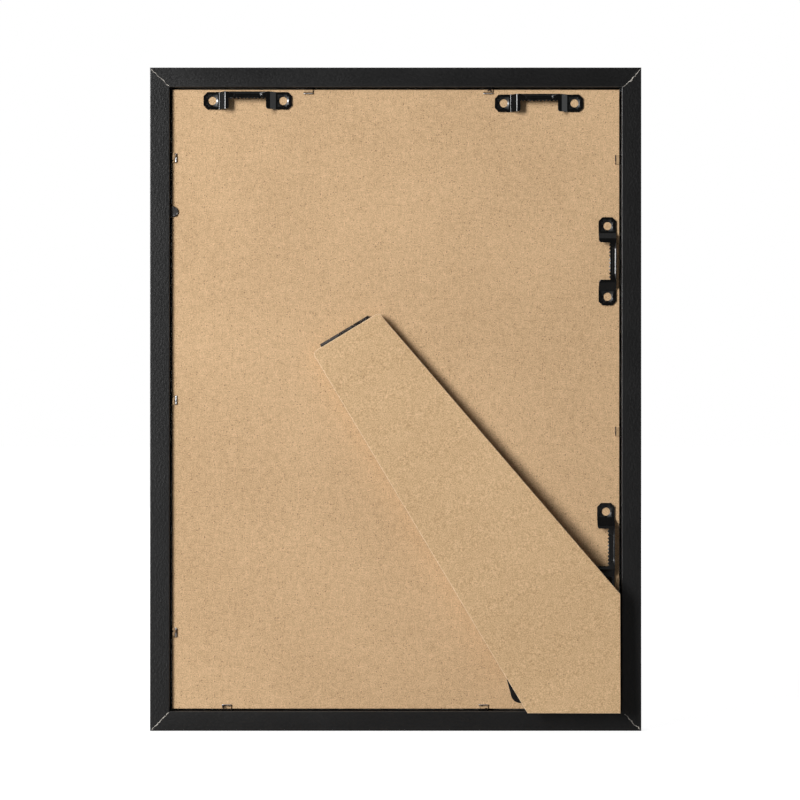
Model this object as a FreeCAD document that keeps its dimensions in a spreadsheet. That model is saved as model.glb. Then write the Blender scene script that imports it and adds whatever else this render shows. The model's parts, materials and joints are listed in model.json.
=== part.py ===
import FreeCAD, Part
import math
import os
import Sketcher

# Easel back photo frame, standing upright on its bottom rail.
# +Z is up, the glass faces -Y and the back with the easel leg faces +Y.
# The origin is the middle of the bottom rail's underside, at half the frame's depth.
# Most pieces are drawn as they are seen from behind: x to the viewer's right, y up, z outwards.
# left and right in the names are those of a person who faces the glass.

SIZES = (
    # the moulding
    ("frame_width", 237.0),
    ("frame_height", 320.0),
    ("frame_depth", 12.2),
    ("rail_face_width", 14.5),
    ("rail_back_width", 9.5),
    ("lip_depth", 5.2),
    ("front_arris_radius", 1.0),
    ("back_arris_radius", 0.4),
    # what lies in the rebate
    ("glass_thickness", 2.0),
    ("glass_play", 0.5),
    ("insert_thickness", 0.3),
    ("board_thickness", 2.5),
    ("board_play", 1.0),
    # the angled nails that hold each mitre
    ("nail_inset", 5.5),
    ("nail_arm", 4.2),
    ("nail_gauge", 0.4),
    ("nail_length", 6.0),
    ("nail_sink", 0.3),
    # the bendable tabs that hold the board in
    ("tab_width", 4.6),
    ("tab_gauge", 0.4),
    ("tab_reach", 3.1),
    ("tab_shank_length", 6.0),
    ("tab_lift", 0.15),
    ("tab_bend_gap", 0.1),
    ("black_tab_width", 5.1),
    ("black_tab_reach", 3.9),
    ("black_tab_tip_radius", 2.45),
    # the sawtooth hangers
    ("hanger_length", 42.6),
    ("hanger_width", 8.4),
    ("hanger_gauge", 0.6),
    ("hanger_rise", 2.4),
    ("hanger_foot_length", 7.8),
    ("hanger_ramp_length", 3.0),
    ("hanger_bend_share", 0.35),
    ("hanger_bend_radius", 0.5),
    ("hanger_plate_length", 12.3),
    ("hanger_bar_width", 2.9),
    ("hanger_corner_radius", 0.4),
    ("plate_corner_radius", 1.2),
    ("hanger_chamfer", 1.9),
    ("tooth_depth", 0.72),
    ("tooth_pitch", 1.72),
    ("hanger_hole_radius", 2.0),
    ("hanger_hole_inset", 4.2),
    ("hanger_top_right_gap", 6.37),
    ("hanger_top_left_gap", 7.56),
    ("hanger_side_upper_gap", 6.76),
    ("hanger_side_lower_gap", 7.47),
    ("collar_wall", 0.45),
    ("collar_depth", 1.5),
    ("dish_radius", 2.9),
    ("dish_depth", 0.35),
    ("groove_length", 14.0),
    ("groove_radius", 1.15),
    ("groove_depth", 0.35),
    ("groove_inset", 1.15),
    # the hinge of the leg
    ("hinge_angle", 31.1),
    ("hinge_side_share", 0.1031),
    ("hinge_height_share", 0.6019),
    ("hinge_width", 27.2),
    ("knuckle_radius", 1.0),
    ("knuckle_gap", 0.15),
    ("pin_radius", 0.45),
    ("pin_clearance", 0.05),
    ("hinge_gauge", 0.4),
    ("leaf_length", 12.0),
    ("leaf_relief", 1.05),
    ("prong_width", 1.6),
    ("prong_depth", 1.6),
    ("prong_side_share", 0.36),
    ("prong_near_share", 0.3),
    ("prong_far_share", 0.82),
    # the leg
    ("leg_thickness", 2.5),
    ("leg_edge_drop", 0.8),
    ("leg_near_reach", 18.55),
    ("leg_heel_reach", 19.45),
    ("leg_far_reach", 18.65),
    ("foot_side_gap", 1.4),
    ("foot_gap", 0.2),
    ("leg_side_height_share", 0.208),
    ("leg_corner_radius", 2.2),
    ("leg_arris_radius", 0.25),
    ("rest_tilt_angle", 2.0),
    # the ribbon that stops the leg, folded away under it
    ("ribbon_width", 10.4),
    ("ribbon_gauge", 0.4),
    ("ribbon_fold_length", 41.0),
    ("ribbon_skew_angle", 16.3),
    ("ribbon_seat", 0.2),
    ("soft_clearance", 0.3),
    ("staple_foot_share", 0.717),
    ("staple_foot_rise", 19.9),
    ("staple_crown", 7.0),
    ("staple_wire", 0.5),
    ("staple_leg", 2.0),
    # how far a cut runs past the surface it opens
    ("overrun", 0.5),
)

# Each knuckle's share of the hinge's width, from the viewer's left; odd ones belong to the board.
KNUCKLE_SHARES = (0.19, 0.19, 0.30, 0.17, 0.15)

# Each tab's name, its rail, and where it sits along that rail, as a share of the rail's
# length from its middle, counted to the right with the rail lying outer edge down.
TAB_PLACE_SHARES = (
    ("tab_right_upper", "right_rail", -0.3641),
    ("tab_right_middle", "right_rail", 0.0013),
    ("tab_right_lower", "right_rail", 0.3525),
    ("tab_right_black", "right_rail", -0.2831),
    ("tab_left_upper", "left_rail", 0.3613),
    ("tab_left_middle", "left_rail", -0.0487),
    ("tab_left_lower", "left_rail", -0.3494),
    ("tab_top_right", "top_rail", 0.1780),
    ("tab_top_left", "top_rail", -0.1886),
    ("tab_bottom_right", "bottom_rail", -0.3446),
    ("tab_bottom_left", "bottom_rail", 0.1792),
)

# Each hanger's name, its turn, and its place along the rail that it lies beside, as a share of
# that rail's length from its middle, counted to the viewer's right or up.
HANGER_PLACE_SHARES = (
    ("hanger_top_right", 0, -0.3017),
    ("hanger_top_left", 0, 0.2920),
    ("hanger_side_upper", -90, 0.2081),
    ("hanger_side_lower", -90, -0.2232),
)

SHEET_NAME = "Sizes"
QUARTER_TURN = 90
# Two places nearer than this are the same place.
SAME_PLACE = 1e-4

doc = FreeCAD.newDocument("EaselBackPhotoFrame")
sheet = doc.addObject("Spreadsheet::Sheet", SHEET_NAME)
for row, (alias, number) in enumerate(SIZES, start=1):
    sheet.set(f"A{row}", alias)
    sheet.set(f"B{row}", str(number))
    sheet.setAlias(f"B{row}", alias)
doc.recompute()


class Measure:
    """A number together with the sheet formula that gives it."""

    def __init__(self, value, formula):
        self.value = value
        self.formula = formula

    def __add__(self, other):
        other = measure(other)
        return Measure(self.value + other.value, f"({self.formula} + {other.formula})")

    def __sub__(self, other):
        other = measure(other)
        return Measure(self.value - other.value, f"({self.formula} - {other.formula})")

    def __mul__(self, other):
        other = measure(other)
        return Measure(self.value * other.value, f"({self.formula} * {other.formula})")

    def __truediv__(self, other):
        other = measure(other)
        return Measure(self.value / other.value, f"({self.formula} / {other.formula})")

    def __neg__(self):
        return Measure(-self.value, f"(0 - {self.formula})")

    __radd__ = __add__
    __rmul__ = __mul__


def measure(number):
    """A plain number as a Measure; a Measure stays as it is."""
    return number if isinstance(number, Measure) else Measure(float(number), str(number))


def size(alias):
    """The value of one cell of the sheet, with its name as the formula."""
    return Measure(float(sheet.get(alias)), f"{SHEET_NAME}.{alias}")


def cosine(angle):
    return Measure(math.cos(math.radians(angle.value)), f"cos({angle.formula})")


def sine(angle):
    return Measure(math.sin(math.radians(angle.value)), f"sin({angle.formula})")


def bind(thing, path, amount):
    """Ties one property of a feature to the sheet."""
    thing.setExpression(path, measure(amount).formula)


ZERO = Measure(0.0, "0")

# Sizes that several pieces share, worked out once.
width = size("frame_width")
height = size("frame_height")
depth = size("frame_depth")
face_width = size("rail_face_width")
back_width = size("rail_back_width")
lip_back = size("lip_depth")
glass_back = lip_back + size("glass_thickness")
insert_back = glass_back + size("insert_thickness")
board_back = insert_back + size("board_thickness")
rebate_width = width - 2 * back_width
rebate_height = height - 2 * back_width
overrun = size("overrun")
hinge_x = -(width * size("hinge_side_share"))
hinge_y = height * size("hinge_height_share")
knuckle_radius = size("knuckle_radius")
hinge_cos = cosine(size("hinge_angle"))
hinge_sin = sine(size("hinge_angle"))

# Placements. The drawing seen from behind has its own x, y and z along -X, +Z and +Y.
BEHIND = FreeCAD.Rotation(
    FreeCAD.Vector(-1, 0, 0),
    FreeCAD.Vector(0, 0, 1),
    FreeCAD.Vector(0, 1, 0),
    "ZXY",
)


def turned(angle):
    """A turn in the plane of the back, anticlockwise as seen from behind, in degrees."""
    return FreeCAD.Rotation(FreeCAD.Vector(0, 0, 1), angle)


def seen_from_behind(x, y, z, angle=0):
    """The placement of a drawing at x, y, z of the back view, z counted from the front face."""
    base = FreeCAD.Vector(-x.value, z.value - depth.value / 2, y.value)
    return FreeCAD.Placement(base, BEHIND.multiply(turned(angle)))


def new_body(label):
    body = doc.addObject("PartDesign::Body", label)
    body.Label = label
    return body


def origin_plane(body, role):
    return next(plane for plane in body.Origin.OriginFeatures if plane.Role == role)


def new_sketch(body, label, role, lift):
    """An empty sketch on one of the body's planes, lifted along that plane's normal."""
    sketch = body.newObject("Sketcher::SketchObject", f"{body.Label}_{label}")
    sketch.AttachmentSupport = (origin_plane(body, role), [""])
    sketch.MapMode = "FlatFace"
    bind(sketch, "AttachmentOffset.Base.z", lift)
    return sketch


def pin_point(sketch, curve, end, point):
    """Holds one end of a curve at a point whose two places are measures."""
    for kind, axis, place in (("DistanceX", -2, point[0]), ("DistanceY", -1, point[1])):
        if place.value == 0:
            sketch.addConstraint(Sketcher.Constraint("PointOnObject", curve, end, axis))
            continue
        held = Sketcher.Constraint(kind, -1, 1, curve, end, place.value)
        bind(sketch, f"Constraints[{sketch.addConstraint(held)}]", place)


def flat(point):
    return FreeCAD.Vector(point[0].value, point[1].value, 0)


def arc_between(start, end, radius):
    """The short arc from start to end that turns left, or right for a negative radius."""
    half = (end - start) / 2
    side = FreeCAD.Vector(-half.y, half.x, 0).normalize()
    rise = math.sqrt(max(radius * radius - half.Length ** 2, 0))
    centre = start + half + side * (math.copysign(rise, radius))
    first, last = (start, end) if radius > 0 else (end, start)
    circle = Part.Circle(centre, FreeCAD.Vector(0, 0, 1), abs(radius))
    angles = [math.atan2(p.y - centre.y, p.x - centre.x) for p in (first, last)]
    return Part.ArcOfCircle(circle, angles[0], angles[1])


def outline(body, label, role, corners, lift=ZERO):
    """A closed sketch. A corner is x, y, or x, y, radius where an arc leads to the next one."""
    sketch = new_sketch(body, label, role, lift)
    corners = [tuple(measure(number) for number in corner) for corner in corners]
    ends = []
    for corner, after in zip(corners, corners[1:] + corners[:1]):
        start, end = flat(corner), flat(after)
        if len(corner) == 3:
            bow = corner[2]
            sketch.addGeometry(arc_between(start, end, bow.value), False)
            ends.append((1, 2) if bow.value > 0 else (2, 1))
        else:
            sketch.addGeometry(Part.LineSegment(start, end), False)
            ends.append((1, 2))
    for curve, corner in enumerate(corners):
        after = (curve + 1) % len(corners)
        joined = Sketcher.Constraint("Coincident", curve, ends[curve][1], after, ends[after][0])
        sketch.addConstraint(joined)
        pin_point(sketch, curve, ends[curve][0], corner[:2])
        if len(corner) == 3:
            bow = corner[2] if corner[2].value > 0 else -corner[2]
            held = Sketcher.Constraint("Radius", curve, bow.value)
            bind(sketch, f"Constraints[{sketch.addConstraint(held)}]", bow)
    return sketch


def rings(body, label, role, centre, radii, lift):
    """A sketch of circles about one centre."""
    sketch = new_sketch(body, label, role, lift)
    for curve, radius in enumerate(radii):
        circle = Part.Circle(flat(centre), FreeCAD.Vector(0, 0, 1), radius.value)
        sketch.addGeometry(circle, False)
        pin_point(sketch, curve, 3, centre)
        held = Sketcher.Constraint("Radius", curve, radius.value)
        bind(sketch, f"Constraints[{sketch.addConstraint(held)}]", radius)
    return sketch


def pad(body, sketch, length):
    feature = body.newObject("PartDesign::Pad", sketch.Name + "_pad")
    feature.Profile = sketch
    bind(feature, "Length", length)
    sketch.Visibility = False
    return feature


def pocket(body, sketch, length):
    """Cuts against the sketch's normal, and makes sure that something was cut."""
    doc.recompute()
    before = body.Shape.Volume
    feature = body.newObject("PartDesign::Pocket", sketch.Name + "_pocket")
    feature.Profile = sketch
    bind(feature, "Length", length)
    doc.recompute()
    if body.Shape.Volume >= before:
        raise RuntimeError(f"{sketch.Name} cut nothing")
    return feature


def block(body, kind, label, x, y, z):
    """Adds or subtracts a box between the pairs x, y and z of the body's own axes."""
    feature = body.newObject(f"PartDesign::{kind}Box", f"{body.Label}_{label}")
    spans = (("Length", "x", x), ("Width", "y", y), ("Height", "z", z))
    for side, axis, (start, end) in spans:
        bind(feature, side, measure(end) - start)
        bind(feature, f"Placement.Base.{axis}", start)
    return feature


def round_post(body, kind, label, x, y, z, radius):
    """Adds or subtracts an upright cylinder between the pair z."""
    feature = body.newObject(f"PartDesign::{kind}Cylinder", f"{body.Label}_{label}")
    bind(feature, "Radius", radius)
    bind(feature, "Height", z[1] - z[0])
    for axis, start in (("x", x), ("y", y), ("z", z[0])):
        bind(feature, f"Placement.Base.{axis}", start)
    return feature


def along(edge, axis):
    """True where a straight edge runs along x, y or z."""
    if not isinstance(edge.Curve, Part.Line):
        return False
    return abs(getattr(edge.Curve.Direction, axis)) > 1 - SAME_PLACE


def middle(edge):
    return edge.CenterOfMass


def dress(body, kind, label, wanted, amount):
    """Rounds or bevels the edges of a body that the function wanted picks."""
    doc.recompute()
    base = body.Tip
    names = [
        f"Edge{place}"
        for place, edge in enumerate(base.Shape.Edges, start=1)
        if wanted(edge)
    ]
    if not names:
        raise RuntimeError(f"{body.Label} has no edge for {label}")
    feature = body.newObject(f"PartDesign::{kind}", f"{body.Label}_{label}")
    feature.Base = (base, names)
    bind(feature, "Radius" if kind == "Fillet" else "Size", amount)
    return feature


def near(value, amount):
    return abs(value - measure(amount).value) < SAME_PLACE


def group(label, pieces):
    compound = doc.addObject("Part::Compound", label)
    compound.Label = label
    compound.Links = pieces
    return compound


def let_in(label, blank, fittings):
    """A blank with the seats of its fittings cut out of it."""
    cutter = fittings[0]
    if len(fittings) > 1:
        cutter = group(label + "_fittings", fittings)
    cut = doc.addObject("Part::Cut", label)
    cut.Label = label
    cut.Base = blank
    cut.Tool = cutter
    return cut


finished = []


def finish(piece):
    finished.append(piece)
    return piece


# The four rails, each drawn outer edge down with x along it and z from its front to its back.
RAIL_TURNS = {
    "bottom_rail": 0,
    "left_rail": QUARTER_TURN,
    "top_rail": 2 * QUARTER_TURN,
    "right_rail": -QUARTER_TURN,
}


def rail_length(name):
    return width if name in ("bottom_rail", "top_rail") else height


def rail_placement(name, along_rail=ZERO, inward=ZERO, outward=ZERO):
    """A place on a rail: along it from its middle, inward from its outer edge, and back."""
    turn = RAIL_TURNS[name]
    middle_x = {"left_rail": width / 2, "right_rail": -(width / 2)}.get(name, ZERO)
    middle_y = {"bottom_rail": ZERO, "top_rail": height}.get(name, height / 2)
    placement = seen_from_behind(middle_x, middle_y, ZERO, turn)
    step = FreeCAD.Vector(along_rail.value, inward.value, outward.value)
    return placement.multiply(FreeCAD.Placement(step, FreeCAD.Rotation()))


def mitred(length, deep):
    """The four corners of a rail whose ends are cut at 45 degrees."""
    return (
        (-(length / 2), ZERO),
        (length / 2, ZERO),
        (length / 2 - deep, deep),
        (-(length / 2) + deep, deep),
    )


def rail_blank(name):
    """An L-shaped moulding: a front lip over the glass and a narrower back."""
    length = rail_length(name)
    body = new_body(name + "_blank")
    pad(body, outline(body, "lip", "XY_Plane", mitred(length, face_width)), lip_back)
    behind_lip = outline(body, "back", "XY_Plane", mitred(length, back_width), lip_back)
    pad(body, behind_lip, depth - lip_back)

    def arris(edge, y, z):
        return along(edge, "x") and near(middle(edge).y, y) and near(middle(edge).z, z)

    def front(edge):
        return arris(edge, ZERO, ZERO) or arris(edge, face_width, ZERO)

    def back(edge):
        return arris(edge, ZERO, depth) or arris(edge, back_width, depth)

    dress(body, "Fillet", "front_arrises", front, size("front_arris_radius"))
    dress(body, "Fillet", "back_arrises", back, size("back_arris_radius"))
    body.Placement = rail_placement(name)
    return body


# The angled nails, one across each mitre, their arms reaching towards the outer edges.
nail_inset = size("nail_inset")
nail_gauge = size("nail_gauge")
nail_back = depth - size("nail_sink")
nail_front = nail_back - size("nail_length")
nail_far = nail_inset + nail_gauge
nail_near = nail_far - size("nail_arm")
NAIL_CORNERS = (
    ("bottom_right", -(width / 2), ZERO, 0),
    ("bottom_left", width / 2, ZERO, QUARTER_TURN),
    ("top_left", width / 2, height, 2 * QUARTER_TURN),
    ("top_right", -(width / 2), height, -QUARTER_TURN),
)


def v_nail(label, x, y, turn):
    body = new_body("v_nail_" + label)
    corners = (
        (nail_near, nail_inset),
        (nail_inset, nail_inset),
        (nail_inset, nail_near),
        (nail_far, nail_near),
        (nail_far, nail_far),
        (nail_near, nail_far),
    )
    section = outline(body, "section", "XY_Plane", corners, nail_front)
    pad(body, section, nail_back - nail_front)
    body.Placement = seen_from_behind(x, y, ZERO, turn)
    return body


nails = [v_nail(*corner) for corner in NAIL_CORNERS]
finish(group("corner_v_nails", nails))


# The tabs: a shank driven into the rail, and a blade that bends up at the rail's wall.
tab_gauge = size("tab_gauge")
tab_middle = board_back + size("tab_lift") + tab_gauge / 2
tab_bend = size("tab_bend_gap") + tab_gauge / 2
shank_length = size("tab_shank_length")


def tab_width(name):
    return size("black_tab_width") if name.endswith("black") else size("tab_width")


def tab_shank(name, rail, share):
    """The buried half of a tab, a plain steel strip."""
    shank = doc.addObject("Part::Box", name + "_shank")
    bind(shank, "Length", tab_width(name))
    bind(shank, "Width", shank_length)
    bind(shank, "Height", tab_gauge)
    start = rail_length(rail) * share - tab_width(name) / 2
    shank.Placement = rail_placement(
        rail, start, back_width - shank_length, tab_middle - tab_gauge / 2
    )
    return shank


def tab_blade(name, rail, share):
    """The half over the board: flat, with a round root on the line where it bends."""
    body = new_body(name)
    black = name.endswith("black")
    reach = size("black_tab_reach") if black else size("tab_reach")
    half = tab_gauge / 2
    side = (
        (tab_bend, -half),
        (reach, -half),
        (reach, half),
        (tab_bend, half, half),
        (tab_bend - half, ZERO, half),
    )
    section = outline(body, "side", "YZ_Plane", side, -(tab_width(name) / 2))
    pad(body, section, tab_width(name))

    def tip(edge):
        return along(edge, "z") and near(middle(edge).y, reach)

    if black:
        dress(body, "Fillet", "tip", tip, size("black_tab_tip_radius"))
    body.Placement = rail_placement(rail, rail_length(rail) * share, back_width, tab_middle)
    return finish(body)


shanks = {name: tab_shank(name, rail, share) for name, rail, share in TAB_PLACE_SHARES}
finish(group("tab_shanks", list(shanks.values())))
for name, rail, share in TAB_PLACE_SHARES:
    tab_blade(name, rail, share)

# Each rail with the seats of its two nails and its tabs.
RAIL_NAILS = {
    "bottom_rail": ("bottom_right", "bottom_left"),
    "left_rail": ("bottom_left", "top_left"),
    "top_rail": ("top_left", "top_right"),
    "right_rail": ("top_right", "bottom_right"),
}
nail_at = {corner[0]: nail for corner, nail in zip(NAIL_CORNERS, nails)}
for rail in RAIL_TURNS:
    fittings = [nail_at[corner] for corner in RAIL_NAILS[rail]]
    fittings += [shanks[name] for name, home, share in TAB_PLACE_SHARES if home == rail]
    finish(let_in(rail, rail_blank(rail), fittings))


# The flat pieces in the rebate.
def panel(label, play, front, thickness):
    """A rectangle with an even gap to the walls of the rebate."""
    body = new_body(label)
    half = rebate_width / 2 - play
    low = back_width + play
    high = height - low
    corners = ((-half, low), (half, low), (half, high), (-half, high))
    pad(body, outline(body, "edge", "XY_Plane", corners, front), thickness)
    body.Placement = seen_from_behind(ZERO, ZERO, ZERO)
    return body


finish(panel("glass_pane", size("glass_play"), lip_back, size("glass_thickness")))
finish(panel("insert_sheet", size("board_play"), glass_back, size("insert_thickness")))


# The sawtooth hangers, drawn with the bar along +y and z out of the board.
hanger_half = size("hanger_length") / 2
hanger_side = size("hanger_width") / 2
hanger_gauge = size("hanger_gauge")
hanger_rise = size("hanger_rise")
hanger_top = hanger_rise + hanger_gauge
foot_end = hanger_half - size("hanger_foot_length")
crest_start = foot_end - size("hanger_ramp_length")
bend = hanger_gauge * size("hanger_bend_share")
window_half = hanger_half - size("hanger_plate_length")
bar_edge = hanger_side - size("hanger_bar_width")
corner_radius = size("hanger_corner_radius")
tooth_pitch = size("tooth_pitch")
tooth_depth = size("tooth_depth")
hole_x = hanger_half - size("hanger_hole_inset")


def hanger_side_view():
    """The bent strip from one end to the other: flat foot, ramp, raised middle, and back."""
    under = ((hanger_half, ZERO), (foot_end, ZERO), (crest_start, hanger_rise))
    over = (
        (crest_start + bend, hanger_top),
        (foot_end + bend, hanger_gauge),
        (hanger_half, hanger_gauge),
    )
    far_under = [(-x, z) for x, z in under]
    far_over = [(-x, z) for x, z in over]
    return [*far_under, *reversed(under), *reversed(over), *far_over]


def toothed_window():
    """The opening under the bar, whose upper edge is a row of pointed teeth."""
    straight = 2 * (window_half - corner_radius)
    count = int(straight.value / tooth_pitch.value)
    start = -(tooth_pitch * count / 2)
    low = -(hanger_side + overrun)
    corner_y = bar_edge - corner_radius
    points = [
        (window_half, low),
        (window_half, corner_y, corner_radius),
        (window_half - corner_radius, bar_edge),
    ]
    for tooth in reversed(range(count)):
        left = start + tooth_pitch * tooth
        points.append((left + tooth_pitch, bar_edge))
        points.append((left + tooth_pitch / 2, bar_edge - tooth_depth))
    points.append((start, bar_edge))
    points.append((-(window_half - corner_radius), bar_edge, corner_radius))
    points.append((-window_half, corner_y))
    points.append((-window_half, low))
    return points


def distinct(points):
    """The points without the ones that repeat the place before them."""
    kept = []
    for point in points:
        if kept and (flat(point) - flat(kept[-1])).Length < SAME_PLACE:
            continue
        kept.append(point)
    return kept


def hanger_place(name, turn, share):
    """The hanger's middle, a named gap away from the wall of its rail."""
    inset = back_width + size(name + "_gap")
    if turn:
        return width / 2 - inset, height / 2 + height * share
    return width * share, height - inset


def hanger(name, turn, share):
    body = new_body(name)
    strip = outline(body, "strip", "XZ_Plane", hanger_side_view(), -hanger_side)
    pad(body, strip, 2 * hanger_side)
    bend_radius = size("hanger_bend_radius")

    def bent(edge, heights):
        """True at a bend of the strip that lies at one of the heights."""
        at = middle(edge)
        inside = not near(abs(at.x), hanger_half)
        return inside and along(edge, "y") and any(near(at.z, height) for height in heights)

    outer_heights, inner_heights = (ZERO, hanger_top), (hanger_gauge, hanger_rise)
    outer_radius = bend_radius + hanger_gauge
    dress(body, "Fillet", "outer_bends", lambda edge: bent(edge, outer_heights), outer_radius)
    dress(body, "Fillet", "inner_bends", lambda edge: bent(edge, inner_heights), bend_radius)

    def tip(edge):
        return along(edge, "z") and near(abs(middle(edge).x), hanger_half)

    dress(body, "Chamfer", "tips", tip, size("hanger_chamfer"))
    above = hanger_top + overrun
    window = outline(body, "window", "XY_Plane", distinct(toothed_window()), above)
    pocket(body, window, above + overrun)

    def plate_corner(edge):
        at = middle(edge)
        return along(edge, "z") and near(abs(at.x), window_half) and near(at.y, -hanger_side)

    dress(body, "Fillet", "plate_corners", plate_corner, size("plate_corner_radius"))
    for side, x in (("near", -hole_x), ("far", hole_x)):
        wall = size("hanger_hole_radius") + size("collar_wall")
        deep = -size("collar_depth")
        round_post(body, "Additive", side + "_collar", x, ZERO, (deep, hanger_gauge / 2), wall)
        bore = (deep - overrun, hanger_gauge + overrun)
        radius = size("hanger_hole_radius")
        round_post(body, "Subtractive", side + "_hole", x, ZERO, bore, radius)
        dish = body.newObject("PartDesign::SubtractiveCone", f"{name}_{side}_dish")
        bind(dish, "Radius1", radius)
        bind(dish, "Radius2", size("dish_radius"))
        bind(dish, "Height", size("dish_depth"))
        dish_z = hanger_gauge - size("dish_depth")
        for axis, place in (("x", x), ("y", ZERO), ("z", dish_z)):
            bind(dish, f"Placement.Base.{axis}", place)
    groove_half = size("groove_length") / 2 - size("groove_radius")
    groove_y = hanger_side - size("groove_inset")
    groove_z = hanger_top + size("groove_radius") - size("groove_depth")
    radii = (size("groove_radius"),)
    groove = rings(body, "groove", "YZ_Plane", (groove_y, groove_z), radii, groove_half)
    pocket(body, groove, 2 * groove_half)
    for side, x in (("near", -groove_half), ("far", groove_half)):
        ball = body.newObject("PartDesign::SubtractiveSphere", f"{name}_{side}_groove_end")
        bind(ball, "Radius", size("groove_radius"))
        for axis, place in (("x", x), ("y", groove_y), ("z", groove_z)):
            bind(ball, f"Placement.Base.{axis}", place)
    body.Placement = seen_from_behind(*hanger_place(name, turn, share), board_back, turn)
    return finish(body)


hangers = [hanger(*row) for row in HANGER_PLACE_SHARES]


# The hinge, drawn with x along its pin, y towards its upper side and z out of the board.
hinge_gauge = size("hinge_gauge")
hinge_half = size("hinge_width") / 2
leaf_length = size("leaf_length")
leaf_relief = size("leaf_relief")
bore_radius = size("pin_radius") + size("pin_clearance")
prong_side = size("hinge_width") * size("prong_side_share")
prong_half = size("prong_width") / 2
axis_height = board_back + knuckle_radius


def on_hinge(tilt=0):
    """The hinge's own placement, with the leg's side tipped open by tilt degrees."""
    angle = size("hinge_angle").value
    placement = seen_from_behind(hinge_x, hinge_y, axis_height, angle)
    tip = FreeCAD.Rotation(FreeCAD.Vector(1, 0, 0), -tilt)
    return placement.multiply(FreeCAD.Placement(FreeCAD.Vector(), tip))


def knuckle_spans():
    """The start and end of each knuckle along the pin."""
    start = -hinge_half
    for share in KNUCKLE_SHARES:
        end = start + size("hinge_width") * share
        yield start, end
        start = end


def leaf(label, first, side):
    """A flat leaf with every second knuckle. side is -1 against the board, 1 under the leg."""
    body = new_body(label)
    inner = (knuckle_radius - hinge_gauge) * side
    outer = knuckle_radius * side
    sheet_z = (inner, outer) if side > 0 else (outer, inner)
    reach = (-leaf_length, -leaf_relief)
    block(body, "Additive", "plate", (-hinge_half, hinge_half), reach, sheet_z)
    half_gap = size("knuckle_gap") / 2
    for place, (start, end) in enumerate(knuckle_spans()):
        if place % 2 != first:
            continue
        span = (start + half_gap, end - half_gap)
        # The tongue goes a little way up the plate, so that the two are one sheet.
        block(body, "Additive", f"tongue_{place}", span, (-(leaf_length / 2), ZERO), sheet_z)
        radii = (knuckle_radius, bore_radius)
        ring = rings(body, f"knuckle_{place}", "YZ_Plane", (ZERO, ZERO), radii, span[0])
        pad(body, ring, span[1] - span[0])
    deep = size("prong_depth")
    prong_z = (outer, outer + deep) if side > 0 else (outer - deep, outer)
    for x_name, x in (("near", -prong_side), ("far", prong_side)):
        for share_name in ("prong_near_share", "prong_far_share"):
            y = -(leaf_length * size(share_name))
            spans = ((x - prong_half, x + prong_half), (y - hinge_gauge, y))
            block(body, "Additive", f"{share_name}_{x_name}", *spans, prong_z)
    return finish(body)


board_leaf = leaf("hinge_board_leaf", 0, -1)
board_leaf.Placement = on_hinge()
leg_leaf = leaf("hinge_leg_leaf", 1, 1)
leg_leaf.Placement = on_hinge(size("rest_tilt_angle").value)

pin = new_body("hinge_pin")
pin_section = rings(pin, "section", "YZ_Plane", (ZERO, ZERO), (size("pin_radius"),), -hinge_half)
pad(pin, pin_section, size("hinge_width"))
pin.Placement = on_hinge()
finish(pin)


# The leg. Its foot is cut square to the frame, so that it can stand upright or on its side.
def on_leg(x, y):
    """A place of the back view, in the hinge's own x and y."""
    across, up = x - hinge_x, y - hinge_y
    return across * hinge_cos + up * hinge_sin, up * hinge_cos - across * hinge_sin


foot_y = back_width + size("foot_gap")
foot_x = width / 2 - back_width - size("foot_side_gap")
heel_x = -size("leg_heel_reach")
# The heel lies on the foot's line, straight down the leg from its near edge.
heel_y = (foot_y - hinge_y - heel_x * hinge_sin) / hinge_cos
toe_x, toe_y = on_leg(foot_x, foot_y)
leg_top = -size("leg_edge_drop")
leg_corners = (
    (-size("leg_near_reach"), leg_top),
    (heel_x, heel_y),
    (toe_x, toe_y),
    on_leg(foot_x, height * size("leg_side_height_share")),
    (size("leg_far_reach"), leg_top),
)
leg_blank = new_body("easel_leg_blank")
leg_edge = outline(leg_blank, "edge", "XY_Plane", leg_corners, knuckle_radius)
pad(leg_blank, leg_edge, size("leg_thickness"))
leg_face = knuckle_radius + size("leg_thickness")


def leg_top_corner(edge):
    return along(edge, "z") and near(middle(edge).y, leg_top)


dress(leg_blank, "Fillet", "top_corners", leg_top_corner, size("leg_corner_radius"))


def leg_arris(edge):
    return near(middle(edge).z, leg_face)


dress(leg_blank, "Fillet", "arris", leg_arris, size("leg_arris_radius"))
leg_blank.Placement = on_hinge(size("rest_tilt_angle").value)


# The ribbon and its two staples. x runs from the staples to the fold, y across the ribbon.
# The staples sit above a share of the foot's edge, counted from the heel to the toe.
foot_share = size("staple_foot_share")
foot_rise = size("staple_foot_rise")
staple_x = heel_x + (toe_x - heel_x) * foot_share + foot_rise * hinge_sin
staple_run = -(heel_y + (toe_y - heel_y) * foot_share + foot_rise * hinge_cos)
wire = size("staple_wire")
ribbon_turn = FreeCAD.Rotation(FreeCAD.Vector(0, 0, 1), 180 - size("ribbon_skew_angle").value)


def staple(label, placement):
    body = new_body(label)
    half = size("staple_crown") / 2
    block(body, "Additive", "crown", (-wire, ZERO), (-half, half), (ZERO, wire))
    for side, span in (("near", (-half, -half + wire)), ("far", (half - wire, half))):
        block(body, "Additive", side + "_leg", (-wire, ZERO), span, (-size("staple_leg"), wire))
    body.Placement = placement
    return finish(body)


def at_staple(placement, surface, over=0):
    """A staple's place under or over a surface at this height from the hinge's pin."""
    step = FreeCAD.Vector(staple_x.value, -staple_run.value, surface.value)
    flip = FreeCAD.Rotation(FreeCAD.Vector(1, 0, 0), over)
    return placement.multiply(FreeCAD.Placement(step, ribbon_turn.multiply(flip)))


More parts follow.
